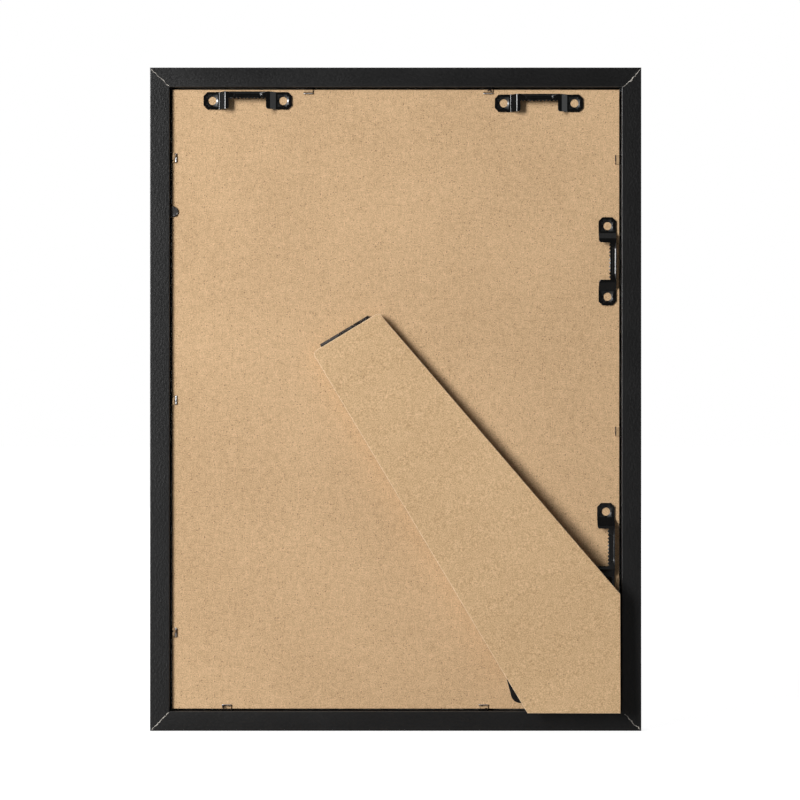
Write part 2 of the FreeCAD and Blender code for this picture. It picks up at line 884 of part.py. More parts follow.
board_staple_place = at_staple(on_hinge(), -knuckle_radius)
board_staple = staple("ribbon_staple_board", board_staple_place)
leg_staple_place = at_staple(on_hinge(size("rest_tilt_angle").value), knuckle_radius, 180)
leg_staple = staple("ribbon_staple_leg", leg_staple_place)

ribbon_gauge = size("ribbon_gauge")
ribbon_half = size("ribbon_width") / 2
# The leg comes nearest to the board where the fold's upper corner lies.
fold_rise = size("ribbon_fold_length") * sine(size("ribbon_skew_angle"))
nearest_run = staple_run - fold_rise - ribbon_half
leg_gap = 2 * knuckle_radius + nearest_run * sine(size("rest_tilt_angle"))
ribbon_low = size("ribbon_seat")
ribbon_high = leg_gap - size("soft_clearance")
fold_radius = (ribbon_high - ribbon_low) / 2
inner_radius = fold_radius - ribbon_gauge
fold_x = size("ribbon_fold_length") - fold_radius
fold_z = ribbon_low + fold_radius
ribbon = new_body("stay_ribbon")
ribbon_side = (
    (ZERO, ribbon_low),
    (fold_x, ribbon_low, fold_radius),
    (fold_x + fold_radius, fold_z, fold_radius),
    (fold_x, ribbon_high),
    (ZERO, ribbon_high),
    (ZERO, ribbon_high - ribbon_gauge),
    (fold_x, ribbon_high - ribbon_gauge, -inner_radius),
    (fold_x + inner_radius, fold_z, -inner_radius),
    (fold_x, ribbon_low + ribbon_gauge),
    (ZERO, ribbon_low + ribbon_gauge),
)
ribbon_section = outline(ribbon, "side", "XZ_Plane", ribbon_side, -ribbon_half)
pad(ribbon, ribbon_section, 2 * ribbon_half)
ribbon.Placement = board_staple_place
finish(ribbon)


# The board and the leg, with the seats of what is pressed and stapled into them.
board_blank = panel("board_blank", size("board_play"), insert_back, size("board_thickness"))
finish(let_in("back_board", board_blank, [*hangers, board_leaf, board_staple]))
finish(let_in("easel_leg", leg_blank, [leg_leaf, leg_staple]))

doc.recompute()

EXPECTED_SOLIDS = {"corner_v_nails": len(nails), "tab_shanks": len(shanks)}
for thing in doc.Objects:
    if "Invalid" in thing.State or "Error" in thing.State:
        raise RuntimeError(f"{thing.Label} failed: {thing.State}")
for piece in finished:
    if piece.Shape.isNull() or not piece.Shape.isValid():
        raise RuntimeError(f"{piece.Label} has no valid shape")
    if len(piece.Shape.Solids) != EXPECTED_SOLIDS.get(piece.Label, 1):
        raise RuntimeError(f"{piece.Label} has {len(piece.Shape.Solids)} solids")

os.makedirs("parts", exist_ok=True)
for piece in finished:
    piece.Shape.exportStep(f"parts/{piece.Label}.step")
    print(f"{piece.Label}: {piece.Shape.Volume:.1f} mm3")
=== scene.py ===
# %% [markdown]
# # An easel back photo frame, dressed for the camera
#
# The frame stands on a pale floor with its back to the camera: black foil moulding, a bare
# fibreboard back with its hangers and bent steel tabs, and an easel leg on a narrow hinge.
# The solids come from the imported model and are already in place, in metres. This lesson gives
# them their finishes and adds what solids are poor at: a folded ribbon, thin bent metal,
# smooth bends, and lines of dried glue.

# %% Load the frame
import math
import json

import bmesh
import bpy
import numpy as np
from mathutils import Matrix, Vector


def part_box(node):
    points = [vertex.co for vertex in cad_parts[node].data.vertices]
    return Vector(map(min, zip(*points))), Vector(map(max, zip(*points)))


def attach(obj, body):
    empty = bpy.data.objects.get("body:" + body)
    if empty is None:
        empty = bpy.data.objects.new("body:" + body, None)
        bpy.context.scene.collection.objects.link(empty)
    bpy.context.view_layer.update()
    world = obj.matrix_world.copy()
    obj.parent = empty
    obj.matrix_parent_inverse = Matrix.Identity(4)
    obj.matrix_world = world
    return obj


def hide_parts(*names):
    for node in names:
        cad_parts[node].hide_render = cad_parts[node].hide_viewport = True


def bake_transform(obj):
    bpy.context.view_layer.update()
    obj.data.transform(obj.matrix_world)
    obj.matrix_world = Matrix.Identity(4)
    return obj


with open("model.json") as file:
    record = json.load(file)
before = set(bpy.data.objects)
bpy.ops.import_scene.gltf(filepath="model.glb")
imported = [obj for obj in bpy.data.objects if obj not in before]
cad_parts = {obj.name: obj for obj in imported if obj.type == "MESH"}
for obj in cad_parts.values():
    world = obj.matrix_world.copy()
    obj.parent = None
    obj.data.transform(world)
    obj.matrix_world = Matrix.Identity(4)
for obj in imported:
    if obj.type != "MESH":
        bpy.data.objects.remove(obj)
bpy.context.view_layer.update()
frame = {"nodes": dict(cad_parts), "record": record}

# %% [markdown]
# ## Where things are
#
# Everything below is placed from the solids.

# %% Sizes that the steps share
MM = 0.001

outer_half_width = float(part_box("right_rail")[1].x)
frame_height = float(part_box("top_rail")[1].z)
back_face = float(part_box("right_rail")[1].y)
board_back = float(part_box("back_board")[1].y)

print("frame", round(outer_half_width * 2 / MM), "x", round(frame_height / MM), "mm,",
      "board's back at y =", round(board_back / MM, 2), "mm")

# %% [markdown]
# ## The camera
#
# The photograph looks squarely at the back from about a metre away. The object's back faces
# +Y, so the camera stands on that side and looks along -Y, which puts +X on the left of the
# picture. A long lens keeps the sides nearly parallel, as they are in the photograph.

# %% Make the camera
CAMERA_PLACE = (-2.1 * MM, 1007.0 * MM, 159.6 * MM)
CAMERA_LENS = 93.4
CAMERA_NEAR, CAMERA_FAR = 0.05, 50

camera_data = bpy.data.cameras.new("camera")
camera_data.lens = CAMERA_LENS
camera_data.clip_start, camera_data.clip_end = CAMERA_NEAR, CAMERA_FAR
camera = bpy.data.objects.new("camera", camera_data)
camera.location = CAMERA_PLACE
camera.rotation_euler = (math.radians(90), 0, math.radians(180))
bpy.context.scene.collection.objects.link(camera)
bpy.context.scene.camera = camera
print("camera at", CAMERA_PLACE, "lens", CAMERA_LENS, "mm")

# %% [markdown]
# ## Wiring materials by script
#
# A shader is a graph. Naming each input and saying what feeds it keeps the recipe readable,
# so `put` adds one node with its settings and its feeds in one line. Effects that several
# finishes share become node groups, built once and placed in each material.

# %% Feed a node, and put one
def feed(tree, made, feeds):
    """Feeds a node's inputs, each by its name or number, with a value or with a socket."""
    for key, value in feeds.items():
        if isinstance(value, bpy.types.NodeSocket):
            tree.links.new(value, made.inputs[key])
        else:
            made.inputs[key].default_value = value
    return made


def put(tree, kind, feeds=None, **settings):
    """Adds a node, makes its settings and feeds it."""
    made = tree.nodes.new(kind)
    for name, value in settings.items():
        setattr(made, name, value)
    return feed(tree, made, feeds or {})


print("two helpers wire a tree:", feed.__name__, "and", put.__name__)


# %% Numbers, colours, noise and bumps
def sums(tree, operation, first, second=0.0, clamp=False):
    """One Math node; each term is a number or a socket."""
    return put(tree, "ShaderNodeMath", {0: first, 1: second}, operation=operation,
               use_clamp=clamp).outputs[0]


def spread(tree, value, reads, gives=(0.0, 1.0)):
    """Value over the range that it reads becomes the range that it gives, smoothly, and is held
    outside. A range may run down as well as up."""
    return put(tree, "ShaderNodeMapRange",
               {"Value": value, "From Min": reads[0], "From Max": reads[1],
                "To Min": gives[0], "To Max": gives[1]},
               interpolation_type="SMOOTHSTEP").outputs[0]


def between(tree, share, first, second):
    """A colour mix: first at share 0, second at share 1. A mix node's sockets 6 and 7 take the
    two colours, and its output 2 gives the mixed one."""
    made = put(tree, "ShaderNodeMix", {"Factor": share}, data_type="RGBA")
    colours = {6: first, 7: second}
    feed(tree, made, {key: (*value, 1) if isinstance(value, tuple) else value
                      for key, value in colours.items()})
    return made.outputs[2]


def noise(tree, where, scale, detail=2.0, roughness=0.5):
    """Noise's value over the vector where."""
    return put(tree, "ShaderNodeTexNoise",
               {"Vector": where, "Scale": scale, "Detail": detail,
                "Roughness": roughness}).outputs[0]


def bump(tree, height, strength, deep):
    """A bent normal, as if the height from 0 to 1 were a relief as deep as this."""
    return put(tree, "ShaderNodeBump",
               {"Strength": strength, "Distance": deep, "Height": height}).outputs[0]


print("five helpers put one node each:",
      [helper.__name__ for helper in (sums, spread, between, noise, bump)])


# %% Groups and finishes
def group(name, inputs, outputs):
    """A new shader group. inputs are (name, kind, value); outputs are (name, kind)."""
    tree = bpy.data.node_groups.new(name, "ShaderNodeTree")
    for label, kind, value in inputs:
        socket = tree.interface.new_socket(label, in_out="INPUT", socket_type=kind)
        if value is not None:
            socket.default_value = value
    for label, kind in outputs:
        tree.interface.new_socket(label, in_out="OUTPUT", socket_type=kind)
    return tree, put(tree, "NodeGroupInput").outputs, put(tree, "NodeGroupOutput")


def place(tree, made_group, feeds):
    """Puts a group into a material and gives what comes out of it."""
    return put(tree, "ShaderNodeGroup", feeds, node_tree=made_group).outputs[0]


def finish_called(name):
    """A new material with an empty tree but for its Principled shader."""
    material = bpy.data.materials.new(name)
    material.use_nodes = True
    tree = material.node_tree
    tree.nodes.clear()
    shader = put(tree, "ShaderNodeBsdfPrincipled")
    put(tree, "ShaderNodeOutputMaterial", {"Surface": shader.outputs[0]})
    return material, tree, shader


def wire(tree, shader, **feeds):
    """Feeds the Principled shader: Base_Color stands for its input Base Color, and so on."""
    feed(tree, shader, {name.replace("_", " "): value for name, value in feeds.items()})


FINISHES = {}  # the name of a solid's slot: its finish
print("four helpers make a finish:",
      [helper.__name__ for helper in (group, place, finish_called, wire)])

# %% [markdown]
# ## Effects that finishes share
#
# Five effects turn up again and again: cloudy **mottle**, small dark **specks**, tangled
# **fibres**, **worn edges** and rounded **arrises**. Fibreboard is all fibres and specks. Black
# foil and lacquer show a little mottle in their gloss, and rub through along the edges first.

# %% Mottle, specks and fibres
FLOAT, VECTOR = "NodeSocketFloat", "NodeSocketVector"
MOTTLE_READS, FIBRES_READ = (0.25, 0.75), (0.3, 0.7)  # noise seldom leaves these
SPECK_BENDS, SPECK_WANDER = 900.0, (0.9 * MM, 0.9 * MM, 0.9 * MM)
SPECK_SIZES = (0.35, 1.0)  # the smallest and largest speck, as shares of the given size
SPECK_RIM = (0.55, 1.0)  # a speck fades over this part of its radius
FIBRE_WAVES = 140.0
FIBRE_LAYS = ((0.5, (1.0, 1.0, 0.22)), (-0.9, (0.25, 1.0, 1.0)))  # (turn, stretch) of each


def make_mottle():
    """Clouds of two sizes added up: 0.5 on average, about 0 to 1."""
    tree, given, out = group("mottle", [("Where", VECTOR, None), ("Large", FLOAT, 30.0),
                                        ("Small", FLOAT, 300.0), ("Small Share", FLOAT, 0.5)],
                             [("Value", FLOAT)])
    large = noise(tree, given["Where"], given["Large"], detail=3.0)
    small = noise(tree, given["Where"], given["Small"], detail=3.0, roughness=0.6)
    mixed = put(tree, "ShaderNodeMix", {0: given["Small Share"], 2: large, 3: small})
    tree.links.new(spread(tree, mixed.outputs[0], MOTTLE_READS), out.inputs["Value"])
    return tree


def make_specks():
    """A speck in each cell whose number is below Kept: 1 near its middle and 0 outside. A second
    number of the cell sets the speck's size."""
    tree, given, out = group("specks", [("Where", VECTOR, None), ("Scale", FLOAT, 300.0),
                                        ("Size", FLOAT, 0.2), ("Kept", FLOAT, 0.3)],
                             [("Mask", FLOAT)])
    bent = put(tree, "ShaderNodeTexNoise", {"Vector": given["Where"], "Scale": SPECK_BENDS})
    shifted = put(tree, "ShaderNodeVectorMath",
                  {0: bent.outputs["Color"], 1: SPECK_WANDER}, operation="MULTIPLY")
    moved = put(tree, "ShaderNodeVectorMath",
                {0: given["Where"], 1: shifted.outputs[0]}, operation="ADD")
    cells = put(tree, "ShaderNodeTexVoronoi",
                {"Vector": moved.outputs[0], "Scale": given["Scale"]})
    number = put(tree, "ShaderNodeSeparateColor", {0: cells.outputs["Color"]})
    chosen = sums(tree, "LESS_THAN", number.outputs[0], given["Kept"])
    radius = sums(tree, "MULTIPLY", given["Size"],
                  spread(tree, number.outputs[1], (0, 1), SPECK_SIZES))
    near = sums(tree, "DIVIDE", cells.outputs["Distance"], radius)
    dot = spread(tree, near, SPECK_RIM, (1.0, 0.0))
    tree.links.new(sums(tree, "MULTIPLY", chosen, dot), out.inputs["Mask"])
    return tree


def make_fibres():
    """Two layers of long thin noise, each laid along its own direction and bent by noise."""
    tree, given, out = group("fibres", [("Where", VECTOR, None), ("Scale", FLOAT, 400.0),
                                        ("Bend", FLOAT, 2.0 * MM)], [("Value", FLOAT)])
    waves = put(tree, "ShaderNodeTexNoise", {"Vector": given["Where"], "Scale": FIBRE_WAVES})
    bend = put(tree, "ShaderNodeVectorMath", {0: waves.outputs["Color"], 3: given["Bend"]},
               operation="SCALE")
    bent = put(tree, "ShaderNodeVectorMath", {0: given["Where"], 1: bend.outputs[0]},
               operation="ADD")
    layers = []
    for turn, stretch in FIBRE_LAYS:
        laid = put(tree, "ShaderNodeMapping",
                   {"Vector": bent.outputs[0], "Rotation": (0, turn, 0), "Scale": stretch})
        layers.append(noise(tree, laid.outputs[0], given["Scale"], roughness=0.6))
    both = sums(tree, "MULTIPLY", sums(tree, "ADD", *layers), 0.5)
    tree.links.new(spread(tree, both, FIBRES_READ), out.inputs["Value"])
    return tree


MOTTLE, SPECKS, FIBRES = make_mottle(), make_specks(), make_fibres()
print("groups:", [made.name for made in (MOTTLE, SPECKS, FIBRES)])


# %% Worn edges and arrises
EDGE_READS = (0.999, 0.93)  # how well the rounded normal agrees with the real one
BREAKS_READ = (0.42, 0.66)
ARRIS_READS = (0.985, 0.90)  # the largest part of the normal


def make_worn_edges():
    """Where a rounded copy of the normal leaves the real one, an edge is near; noise breaks it."""
    tree, given, out = group("worn_edges", [("Where", VECTOR, None), ("Reach", FLOAT, 0.6 * MM),
                                            ("Breaks", FLOAT, 250.0), ("Amount", FLOAT, 1.0)],
                             [("Mask", FLOAT)])
    rounded = put(tree, "ShaderNodeBevel", {"Radius": given["Reach"]}, samples=6)
    real = put(tree, "ShaderNodeNewGeometry")
    meet = put(tree, "ShaderNodeVectorMath",
               {0: rounded.outputs[0], 1: real.outputs["Normal"]}, operation="DOT_PRODUCT")
    edge = spread(tree, meet.outputs["Value"], EDGE_READS)
    breaks = noise(tree, given["Where"], given["Breaks"], detail=4.0, roughness=0.7)
    broken = spread(tree, breaks, BREAKS_READ)
    rubbed = sums(tree, "MULTIPLY", edge, broken)
    tree.links.new(sums(tree, "MULTIPLY", rubbed, given["Amount"], clamp=True),
                   out.inputs["Mask"])
    return tree


def make_arris():
    """On a square-cut piece a rounded arris is where no part of the normal is near 1."""
    tree, given, out = group("arris", [("Normal", VECTOR, None)], [("Mask", FLOAT)])
    parts = put(tree, "ShaderNodeSeparateXYZ", {0: given["Normal"]}).outputs
    sizes = [sums(tree, "ABSOLUTE", part) for part in parts]
    largest = sums(tree, "MAXIMUM", sums(tree, "MAXIMUM", *sizes[:2]), sizes[2])
    tree.links.new(spread(tree, largest, ARRIS_READS), out.inputs["Mask"])
    return tree


WORN, ARRIS = make_worn_edges(), make_arris()
print("groups:", [made.name for made in (WORN, ARRIS)])

# %% [markdown]
# ## Black foil moulding
#
# The rails are wood fibre wrapped in black foil. The foil is not quite black and not quite
# matt: its fine grain runs along each rail, so the upright rails catch more of the light from
# the side than the level ones do. Along the arrises the foil is painted lighter: partly as
# rubbed foil, partly as a painted highlight. On the level rails, whose arrises face the light
# from above, a still lighter painted highlight is added.

# %% The moulding's finish
FOIL_DARK, FOIL_LIGHT = (0.0022, 0.0021, 0.0022), (0.0052, 0.0050, 0.0051)
# The first colour is rubbed foil, made light enough to be partly a painted highlight; the second
# is a painted highlight on the level rails' arrises.
FOIL_RUBBED_AND_HIGHLIGHT, FOIL_LEVEL_ARRIS_HIGHLIGHT = (0.062, 0.058, 0.053), (0.042, 0.040, 0.038)
FOIL_ROUGHNESS, UPRIGHT_MORE, ARRIS_LESS = (0.33, 0.43), 0.03, 0.10
FOIL_GRAIN, ALONG_SHARE = 1000.0, 0.55
LEVEL_SQUEEZE, UPRIGHT_SQUEEZE = (ALONG_SHARE, 1.0, 1.0), (1.0, 1.0, ALONG_SHARE)


def make_moulding():
    """Foil: near black, a little rubbed along its edges, where the lighter rubbed colour is also a
    painted highlight; the level rails' arrises get a painted highlight of their own. A point is on
    an upright rail where it is nearer to a side than to an end, and the grain is noise stretched
    along the rail."""
    material, tree, shader = finish_called("moulding_foil")
    spot = put(tree, "ShaderNodeTexCoord").outputs
    where = spot["Object"]
    clouds = place(tree, MOTTLE, {"Where": where, "Large": 45.0, "Small": 1300.0,
                                  "Small Share": 0.75})
    # Rubbed edges, their amount raised so that they also paint the arris highlight.
    worn = place(tree, WORN, {"Where": where, "Reach": 0.5 * MM, "Breaks": 420.0,
                              "Amount": 0.6})
    arris = place(tree, ARRIS, {"Normal": spot["Normal"]})
    black = between(tree, clouds, FOIL_DARK, FOIL_LIGHT)
    rubbed = between(tree, worn, black, FOIL_RUBBED_AND_HIGHLIGHT)
    at = put(tree, "ShaderNodeSeparateXYZ", {0: where}).outputs
    from_side = sums(tree, "SUBTRACT", outer_half_width, sums(tree, "ABSOLUTE", at[0]))
    from_end = sums(tree, "MINIMUM", at[2], sums(tree, "SUBTRACT", frame_height, at[2]))
    upright = sums(tree, "LESS_THAN", from_side, from_end)
    # Painted highlight: the level rails' arrises are painted lighter, as if lit from above.
    level_arris_highlight = sums(tree, "MULTIPLY", arris, sums(tree, "SUBTRACT", 1.0, upright))
    colour = between(tree, level_arris_highlight, rubbed, FOIL_LEVEL_ARRIS_HIGHLIGHT)
    along = [noise(tree, put(tree, "ShaderNodeMapping", {"Vector": where, "Scale": squeeze})
                   .outputs[0], FOIL_GRAIN, detail=4.0, roughness=0.6)
             for squeeze in (LEVEL_SQUEEZE, UPRIGHT_SQUEEZE)]
    grain = put(tree, "ShaderNodeMix", {0: upright, 2: along[0], 3: along[1]}).outputs[0]
    matt = sums(tree, "ADD", spread(tree, clouds, (0, 1), FOIL_ROUGHNESS),
                sums(tree, "MULTIPLY", upright, UPRIGHT_MORE))
    gloss = sums(tree, "SUBTRACT", matt, sums(tree, "MULTIPLY", arris, ARRIS_LESS))
    wire(tree, shader, Base_Color=colour, Roughness=gloss, Specular_IOR_Level=0.60,
         Normal=bump(tree, grain, strength=0.9, deep=0.16 * MM))
    return material


FINISHES["moulding"] = make_moulding()
print("finish:", FINISHES["moulding"].name)

# %% [markdown]
# ## Fibreboard
#
# The back is thin bare fibreboard. From a distance it is plain tan. Close up it is a felt of
# fibres with dark bark specks, and its sawn edges are a little darker. The leg is a smoother,
# closer grade of the same stuff, and where it was punched out its edge is paler.
# One recipe makes both, with its own numbers for each.

# %% The boards' finish
DRIFT_READS, DRIFT_GIVES = (0.3, 0.7), (-0.06, 0.06)
CUT_READS = (0.95, 0.75)  # how much of the normal lies along Y
SPECK_SUNK = 0.4
ROUGHER_LOW, SMOOTHER_HIGH = 0.06, 0.04


def make_board(name, light, dark, speck, small_specks, large_specks, speck_depth,
               fibre_share, cut_colour, roughness):
    """Grain and fibres between two tans, specks on top, and another tan on faces turned from Y.
    Each kind of speck is given as its scale, its size and the share of the cells that has one."""
    material, tree, shader = finish_called(name)
    spot = put(tree, "ShaderNodeTexCoord")
    where = spot.outputs["Object"]
    grain = place(tree, MOTTLE, {"Where": where, "Large": 420.0, "Small": 1800.0,
                                 "Small Share": 0.86})
    felt = place(tree, FIBRES, {"Where": where, "Scale": 1100.0, "Bend": 3.0 * MM})
    body = put(tree, "ShaderNodeMix", {0: fibre_share, 2: grain, 3: felt}).outputs[0]
    drift = spread(tree, noise(tree, where, scale=14.0, detail=3.0), DRIFT_READS, DRIFT_GIVES)
    tan = between(tree, sums(tree, "ADD", body, drift, clamp=True), dark, light)
    marks = [place(tree, SPECKS, {"Where": where, "Scale": scale, "Size": size, "Kept": kept})
             for scale, size, kept in (small_specks, large_specks)]
    marked = sums(tree, "MULTIPLY", sums(tree, "MAXIMUM", *marks), speck_depth)
    facing = put(tree, "ShaderNodeSeparateXYZ", {0: spot.outputs["Normal"]}).outputs[1]
    cut = spread(tree, sums(tree, "ABSOLUTE", facing), CUT_READS)
    colour = between(tree, cut, between(tree, marked, tan, speck), cut_colour)
    height = sums(tree, "SUBTRACT", body, sums(tree, "MULTIPLY", marked, SPECK_SUNK))
    wire(tree, shader, Base_Color=colour, Specular_IOR_Level=0.25,
         Normal=bump(tree, height, strength=0.25, deep=0.10 * MM),
         Roughness=spread(tree, body, (0, 1),
                          (roughness + ROUGHER_LOW, roughness - SMOOTHER_HIGH)))
    return material


FINISHES["board"] = make_board(
    "bare_fibreboard", light=(0.845, 0.580, 0.338), dark=(0.385, 0.242, 0.122),
    speck=(0.16, 0.080, 0.034), small_specks=(820.0, 0.34, 0.34),
    large_specks=(300.0, 0.20, 0.06), speck_depth=0.68, fibre_share=0.25,
    cut_colour=(0.42, 0.29, 0.16), roughness=0.82)
FINISHES["leg_board"] = make_board(
    "smooth_fibreboard", light=(0.825, 0.578, 0.338), dark=(0.415, 0.257, 0.120),
    speck=(0.20, 0.11, 0.05), small_specks=(700.0, 0.30, 0.12),
    large_specks=(300.0, 0.16, 0.03), speck_depth=0.55, fibre_share=0.14,
    cut_colour=(0.90, 0.71, 0.50), roughness=0.74)
print("finishes:", FINISHES["board"].name, FINISHES["leg_board"].name)

# %% [markdown]
# ## Lacquered and bright steel
#
# The hangers are pressed steel dipped in gloss black lacquer: nearly a black mirror, a touch
# wavy like orange peel. The hinge and the black tab have the same coat gone dull. The shanks,
# nails and staples are bright zinc, which is a real metal surface, so its colour comes from
# what it reflects. The tabs are zinc gone tan. Where a tab leaves the rail over the shaded gap,
# its root is painted dark as shade. The three on the left rail, whose lips turn away from the
# key light, have their lip painted dark as shade. On the others the curl behind the lip is
# darkened, partly as stain and partly as painted shade in the bend, and the bare lip shines.

# %% The lacquered steels' finishes
STEEL_RUBBED = (0.060, 0.056, 0.052)
DIMPLE_READS = (0.02, 0.10)  # the lesser of the normal's parts along X and Z


def make_black_steel(name, dark, light, glossiest, dullest, in_dimples):
    """Lacquer: black base, wavy coat, edges rubbed a little grey. The last three are roughnesses.
    A hanger's bend turns the normal along one of X and Z only. The dimples round its holes turn
    it along both, and there the coat has a roughness of its own."""
    material, tree, shader = finish_called(name)
    spot = put(tree, "ShaderNodeTexCoord")
    where = spot.outputs["Object"]
    clouds = place(tree, MOTTLE, {"Where": where, "Large": 160.0, "Small": 1500.0,
                                  "Small Share": 0.4})
    worn = place(tree, WORN, {"Where": where, "Reach": 0.25 * MM, "Breaks": 700.0,
                              "Amount": 0.35})
    colour = between(tree, worn, between(tree, clouds, dark, light), STEEL_RUBBED)
    peel = noise(tree, where, scale=750.0, detail=1.0)
    parts = put(tree, "ShaderNodeSeparateXYZ", {0: spot.outputs["Normal"]}).outputs
    both_ways = sums(tree, "MINIMUM", *(sums(tree, "ABSOLUTE", parts[i]) for i in (0, 2)))
    dimple = spread(tree, both_ways, DIMPLE_READS, (0.0, in_dimples))
    wire(tree, shader, Base_Color=colour, Specular_IOR_Level=0.75,
         Normal=bump(tree, peel, strength=0.08, deep=0.05 * MM),
         Roughness=sums(tree, "MAXIMUM", dimple,
                        spread(tree, clouds, (0, 1), (glossiest, dullest))))
    return material


FINISHES["black_steel"] = make_black_steel(
    "gloss_lacquer", dark=(0.0015, 0.0014, 0.0013), light=(0.0030, 0.0028, 0.0026),
    glossiest=0.12, dullest=0.17, in_dimples=0.45)
FINISHES["dull_steel"] = make_black_steel(
    "dull_lacquer", dark=(0.004, 0.003, 0.0025), light=(0.022, 0.016, 0.013),
    glossiest=0.08, dullest=0.60, in_dimples=0.0)
print("finishes:", FINISHES["black_steel"].name, FINISHES["dull_steel"].name)

# %% The bright steels' finishes
TAN_DARK, TAN_LIGHT = (0.40, 0.260, 0.140), (0.62, 0.425, 0.245)
# The first colour darkens the curl and the blots: stain, and in the curl also painted shade. The
# second is painted shade on the tab's root over the shaded gap by the rail.
STAIN_AND_SHADE, ROOT_PAINTED_SHADE = (0.020, 0.012, 0.008), (0.003, 0.002, 0.002)
LIP_FADES = (0.22 * MM, 0.44 * MM)  # these three are ways from a tongue's tip
CURL_FADES = (1.35 * MM, 1.00 * MM)
ROOT_FADES = (2.05 * MM, 2.25 * MM)
RUB_READS, BLOT_FADES = (0.36, 0.50), 0.08
CRYSTAL_DARK, CRYSTAL_LIGHT = (0.58, 0.43, 0.27), (0.70, 0.53, 0.34)


def make_tongue_steel(name, stained, lip_colour, lip_metal):
    """Zinc gone tan, with stains and, in the curl, painted shade: 0 none, 1 all over. The map's
    second way is the distance from the tip: the lip there has its own colour, which is painted
    shade where it is dark; the curl behind it is darkened by stain and painted shade; the root is
    painted dark as shade."""
    material, tree, shader = finish_called(name)
    where = put(tree, "ShaderNodeTexCoord").outputs["Object"]
    flat = put(tree, "ShaderNodeUVMap", uv_map="flat").outputs[0]
    from_tip = put(tree, "ShaderNodeSeparateXYZ", {0: flat}).outputs[1]
    patches = place(tree, MOTTLE, {"Where": where, "Large": 700.0, "Small": 2400.0,
                                   "Small Share": 0.5})
    rubbed = spread(tree, noise(tree, where, scale=520.0), RUB_READS)
    lip = sums(tree, "MULTIPLY", spread(tree, from_tip, LIP_FADES, (1.0, 0.0)), rubbed)
    # Painted shade and stain: the concave bend behind the lip is darkened.
    curl = sums(tree, "MULTIPLY", spread(tree, from_tip, CURL_FADES), min(1.0, 2 * stained))
    edge = 0.25 + 0.5 * stained
    blot = spread(tree, noise(tree, where, scale=620.0), (edge, edge + BLOT_FADES), (1.0, 0.0))
    tan = between(tree, patches, TAN_DARK, TAN_LIGHT)
    zinc = between(tree, sums(tree, "MAXIMUM", curl, blot), tan, STAIN_AND_SHADE)
    # Painted shade: the root over the gap by the rail is darkened.
    root = spread(tree, from_tip, ROOT_FADES)
    wire(tree, shader, Normal=bump(tree, patches, strength=0.2, deep=0.04 * MM),
         Specular_IOR_Level=0.1, Metallic=sums(tree, "MULTIPLY", lip, lip_metal),
         Base_Color=between(tree, lip, between(tree, root, zinc, ROOT_PAINTED_SHADE), lip_colour),
         Roughness=spread(tree, lip, (0, 1), (0.55, 0.32)))
    return material


def make_bright_steel():
    """Zinc: metal with crystal patches in its tint and gloss, and a fine tooth."""
    material, tree, shader = finish_called("bright_zinc")
    where = put(tree, "ShaderNodeTexCoord").outputs["Object"]
    crystals = put(tree, "ShaderNodeTexVoronoi", {"Vector": where, "Scale": 1400.0})
    tint = put(tree, "ShaderNodeSeparateColor", {0: crystals.outputs["Color"]}).outputs[0]
    colour = between(tree, tint, CRYSTAL_DARK, CRYSTAL_LIGHT)
    tooth = noise(tree, where, scale=1800.0, detail=3.0, roughness=0.7)
    wire(tree, shader, Base_Color=colour, Metallic=1.0,
         Normal=bump(tree, tooth, strength=0.2, deep=0.04 * MM),
         Roughness=spread(tree, tint, (0, 1), (0.18, 0.28)))
    return material


FINISHES["bright_steel"] = make_bright_steel()
# The left rail's tabs: their lip is painted dark as shade, since it turns away from the key light.
FINISHES["clean_tab"] = make_tongue_steel(
    "tan_zinc_shaded_lip", stained=0.06, lip_colour=(0.045, 0.045, 0.050), lip_metal=0.2)
FINISHES["stained_tab"] = make_tongue_steel(
    "stained_zinc_shaded_curl", stained=0.32, lip_colour=(0.80, 0.84, 0.90), lip_metal=1.0)
print("finishes:", [FINISHES[kind].name for kind in ("bright_steel", "clean_tab", "stained_tab")])

# %% [markdown]
# ## Glass, insert, ribbon and glue
#
# The glass is clear, with the faintest smear in its gloss. The insert is left blank, a matt
# off-white paper. The ribbon is black satin: fine ribs run along it, and it has a sheen at
# grazing angles. The glue that squeezed out of the mitres has dried cream-grey.

# %% Glass and paper
GLASS_DEEP, GLASS_CLEAR = (0.975, 0.990, 0.982), (0.985, 0.995, 0.990)
PAPER_DARK, PAPER_LIGHT = (0.80, 0.79, 0.755), (0.86, 0.85, 0.82)


def make_glass():
    """Clear float glass with slight smears."""
    material, tree, shader = finish_called("clear_glass")
    where = put(tree, "ShaderNodeTexCoord").outputs["Object"]
    smear = place(tree, MOTTLE, {"Where": where, "Large": 22.0, "Small": 120.0,
                                 "Small Share": 0.3})
    colour = between(tree, smear, GLASS_DEEP, GLASS_CLEAR)
    wire(tree, shader, Base_Color=colour, Transmission_Weight=1.0, IOR=1.45,
         Roughness=spread(tree, smear, (0.55, 1), (0.0, 0.035)))
    return material


def make_insert():
    """Blank paper: off-white with a soft grain."""
    material, tree, shader = finish_called("blank_paper")
    where = put(tree, "ShaderNodeTexCoord").outputs["Object"]
    grain = place(tree, MOTTLE, {"Where": where, "Large": 60.0, "Small": 1400.0,
                                 "Small Share": 0.6})
    wire(tree, shader, Base_Color=between(tree, grain, PAPER_DARK, PAPER_LIGHT),
         Roughness=spread(tree, grain, (0, 1), (0.75, 0.9)),
         Normal=bump(tree, grain, strength=0.15, deep=0.03 * MM))
    return material


FINISHES["glass"] = make_glass()
FINISHES["insert"] = make_insert()
print("finishes:", FINISHES["glass"].name, FINISHES["insert"].name)

